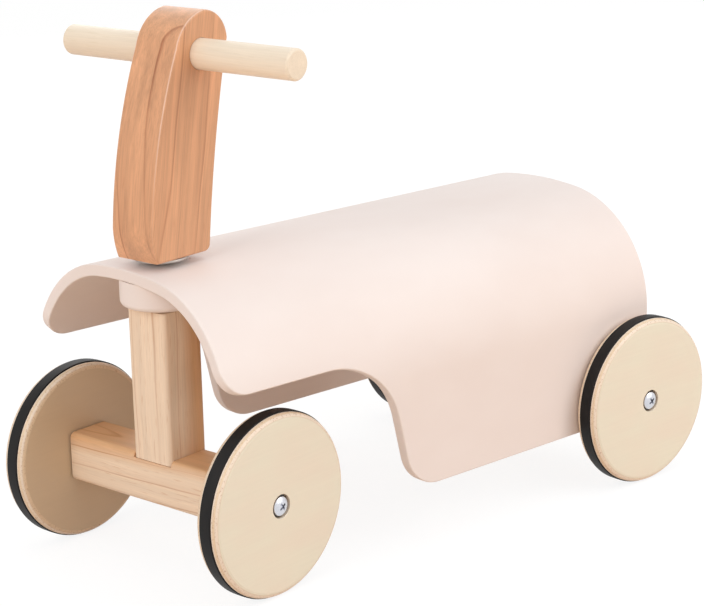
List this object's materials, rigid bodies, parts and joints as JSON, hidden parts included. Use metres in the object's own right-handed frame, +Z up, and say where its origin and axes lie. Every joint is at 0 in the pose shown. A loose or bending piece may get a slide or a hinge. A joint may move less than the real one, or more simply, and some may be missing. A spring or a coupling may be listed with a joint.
{
  "type": "wooden ride-on quad",
  "caption": "Toddler's wooden ride-on: bent-plywood arched seat on plywood wheels with rubber bands, steered by a swept-back post with a dowel handlebar.",
  "frame": {"origin": "on the floor under the middle of the overall length and width", "axes": "the quad faces -Y, +X is the rider's left, +Z is up; the steering rests turned 8.2 degrees to the rider's left, as pictured"},
  "size_m": [0.31, 0.5856, 0.4532],
  "materials": {
    "blush_paint": "matte blush paint on plywood",
    "pine": "oiled softwood with long dark grain",
    "cherry": "oiled red-brown hardwood",
    "birch_dowel": "pale lacquered dowel",
    "birch_plywood": "clear lacquered plywood",
    "rubber": "matte black rubber",
    "zinc": "bright zinc plate",
    "nylon": "dark moulded nylon"
  },
  "bodies": {
    "frame": {"seat_shell": "blush_paint", "steering_block": "blush_paint", "block_screw_left": "zinc", "block_screw_right": "zinc", "steering_bush": "nylon", "seat_washer_lower": "zinc", "seat_washer_upper": "zinc", "column_washer": "zinc", "rear_axle_beam": "pine", "wheel_screw_rear_left": "zinc", "wheel_screw_rear_right": "zinc", "wheel_washer_rear_left": "zinc", "wheel_washer_rear_right": "zinc", "axle_insert_rear_left": "zinc", "axle_insert_rear_right": "zinc"},
    "steering": {"steering_spindle": "zinc", "column_sleeve": "zinc", "handle_sleeve": "zinc", "front_axle_beam": "pine", "steering_column": "pine", "column_screw_left": "zinc", "column_screw_right": "zinc", "handle_post": "cherry", "handlebar": "birch_dowel", "wheel_screw_front_left": "zinc", "wheel_screw_front_right": "zinc", "wheel_washer_front_left": "zinc", "wheel_washer_front_right": "zinc", "axle_insert_front_left": "zinc", "axle_insert_front_right": "zinc"},
    "front_left_wheel": {"wheel_front_left": "birch_plywood", "tyre_front_left": "rubber", "wheel_bush_front_left": "nylon"},
    "front_right_wheel": {"wheel_front_right": "birch_plywood", "tyre_front_right": "rubber", "wheel_bush_front_right": "nylon"},
    "rear_left_wheel": {"wheel_rear_left": "birch_plywood", "tyre_rear_left": "rubber", "wheel_bush_rear_left": "nylon"},
    "rear_right_wheel": {"wheel_rear_right": "birch_plywood", "tyre_rear_right": "rubber", "wheel_bush_rear_right": "nylon"}
  },
  "joints": [
    {"name": "steer", "type": "hinge", "parent": "frame", "child": "steering", "pos_m": [0, -0.20122, 0.2], "axis": [0, 0, 1], "range_deg": [-53.2, 36.8]},
    {"name": "front_left_roll", "type": "hinge", "parent": "steering", "child": "front_left_wheel", "pos_m": [0.10947, -0.18545, 0.0758], "axis": [0.9898, 0.1426, 0], "continuous": true},
    {"name": "front_right_roll", "type": "hinge", "parent": "steering", "child": "front_right_wheel", "pos_m": [-0.10947, -0.217, 0.0758], "axis": [0.9898, 0.1426, 0], "continuous": true},
    {"name": "rear_left_roll", "type": "hinge", "parent": "frame", "child": "rear_left_wheel", "pos_m": [0.1426, 0.21708, 0.0758], "axis": [1, 0, 0], "continuous": true},
    {"name": "rear_right_roll", "type": "hinge", "parent": "frame", "child": "rear_right_wheel", "pos_m": [-0.1426, 0.21708, 0.0758], "axis": [1, 0, 0], "continuous": true}
  ]
}
